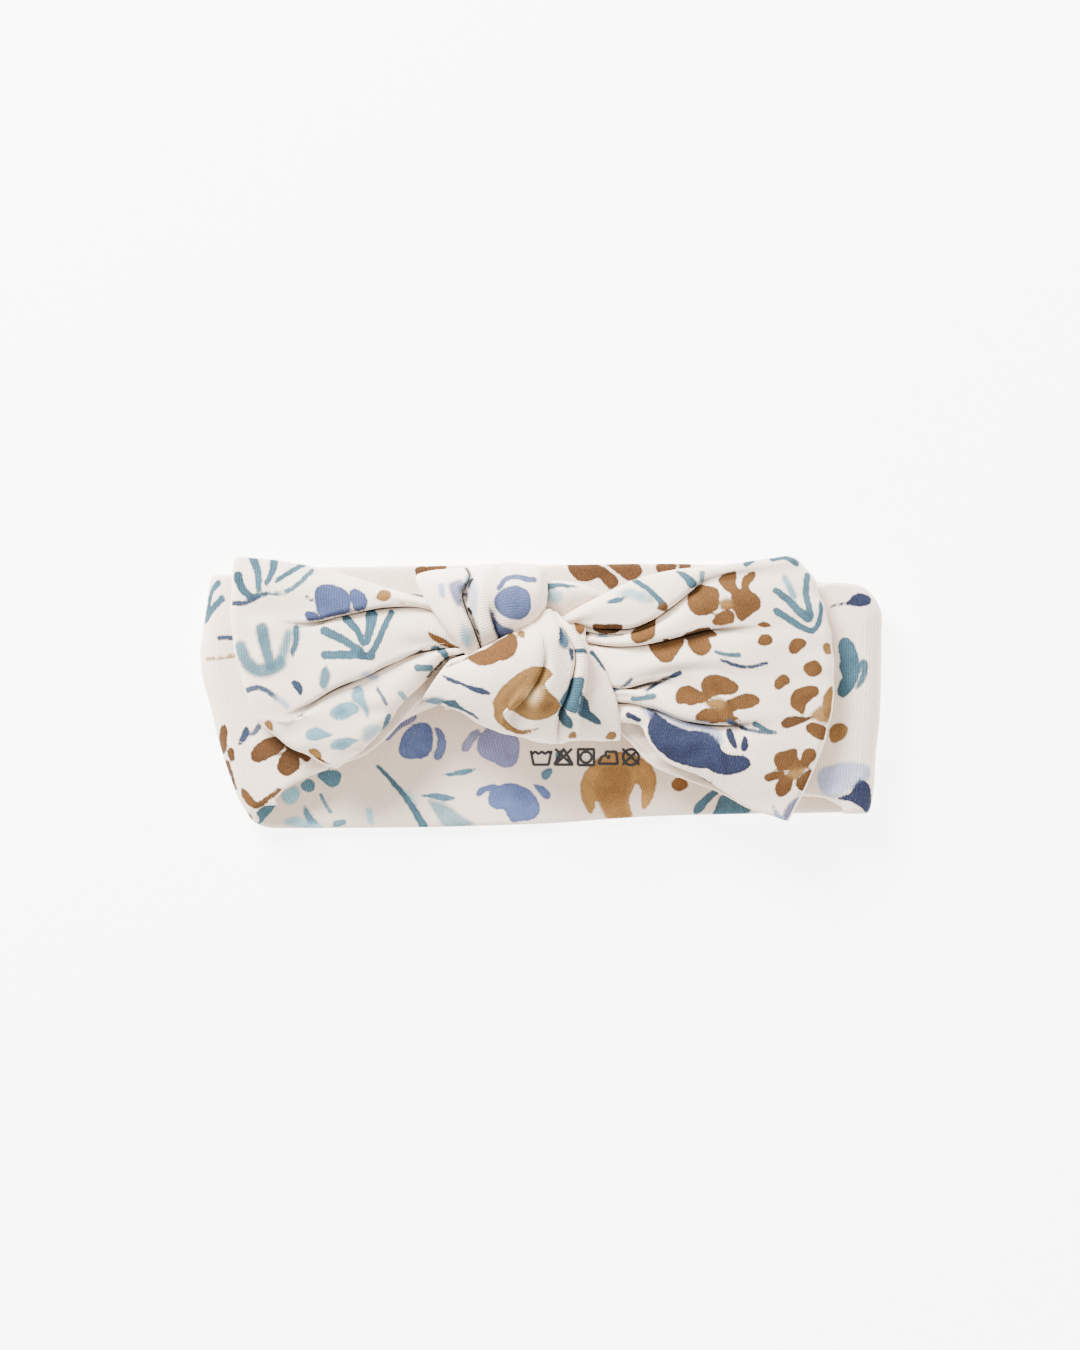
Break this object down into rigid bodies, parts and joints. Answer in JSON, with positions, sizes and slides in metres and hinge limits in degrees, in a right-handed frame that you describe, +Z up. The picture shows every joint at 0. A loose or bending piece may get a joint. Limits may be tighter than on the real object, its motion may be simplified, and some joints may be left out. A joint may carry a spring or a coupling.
{
  "type": "knotted bow headband",
  "caption": "Wide stretch jersey headband for a baby, laid flat, with a floral print and a knotted bow of two flattened loops over its gathered front.",
  "frame": {"origin": "centre of the overall box, at the underside the headband rests on", "axes": "+X along the band from its left fold to its right fold, +Y across the band towards its upper edge, +Z up through the knot, out of the front of the bow"},
  "size_m": [0.1801, 0.0721, 0.0304],
  "materials": {
    "printed_jersey": "soft printed knit, matt with a faint sheen",
    "printed_jersey_inside": "the same knit where it is bunched out of sight",
    "transfer_ink": "thin satin heat-transfer film",
    "sewing_thread": "matt polyester thread"
  },
  "bodies": {
    "rear_band": {"rear_band_outer_ply": "printed_jersey", "rear_band_inner_ply": "printed_jersey", "left_end_fold": "printed_jersey", "right_end_fold": "printed_jersey", "care_label_film": "transfer_ink"},
    "front_band_left": {"front_band_left_inner_ply": "printed_jersey", "front_band_left_outer_ply": "printed_jersey"},
    "front_band_right": {"front_band_right_inner_ply": "printed_jersey", "front_band_right_outer_ply": "printed_jersey"},
    "knot": {"band_gather": "printed_jersey_inside", "bow_centre": "printed_jersey_inside", "band_join_allowance": "printed_jersey_inside", "band_join_thread": "sewing_thread", "knot_back_wrap": "printed_jersey_inside", "tack_thread": "sewing_thread", "knot_upper_wrap": "printed_jersey", "knot_lower_wrap": "printed_jersey"},
    "left_bow_loop": {"left_loop_front_ply": "printed_jersey", "left_loop_back_ply": "printed_jersey", "left_loop_fold": "printed_jersey"},
    "right_bow_loop": {"right_loop_front_ply": "printed_jersey", "right_loop_back_ply": "printed_jersey", "right_loop_fold": "printed_jersey"}
  },
  "joints": [
    {"name": "front_lift", "type": "slide", "parent": "rear_band", "child": "knot", "axis": [0, 0, 1], "range_m": [0, 0.03]},
    {"name": "left_front_ramp", "type": "hinge", "parent": "rear_band", "child": "front_band_left", "pos_m": [-0.0822, 0, 0.0098], "axis": [0, -1, 0], "range_deg": [0, 32.5]},
    {"name": "right_front_ramp", "type": "hinge", "parent": "rear_band", "child": "front_band_right", "pos_m": [0.0815, 0, 0.0098], "axis": [0, 1, 0], "range_deg": [0, 32.5]},
    {"name": "left_loop_flop", "type": "hinge", "parent": "knot", "child": "left_bow_loop", "pos_m": [-0.0251, 0.017, 0.025], "axis": [-0.6338, 0.7735, 0], "range_deg": [0, 70]},
    {"name": "right_loop_flop", "type": "hinge", "parent": "knot", "child": "right_bow_loop", "pos_m": [0.0143, 0.0075, 0.025], "axis": [0.4792, -0.8777, 0], "range_deg": [0, 70]}
  ],
  "couplings": [
    {"joint": "left_front_ramp", "follows": "front_lift", "rad_per_m": 18.6},
    {"joint": "right_front_ramp", "follows": "front_lift", "rad_per_m": 18.6}
  ]
}
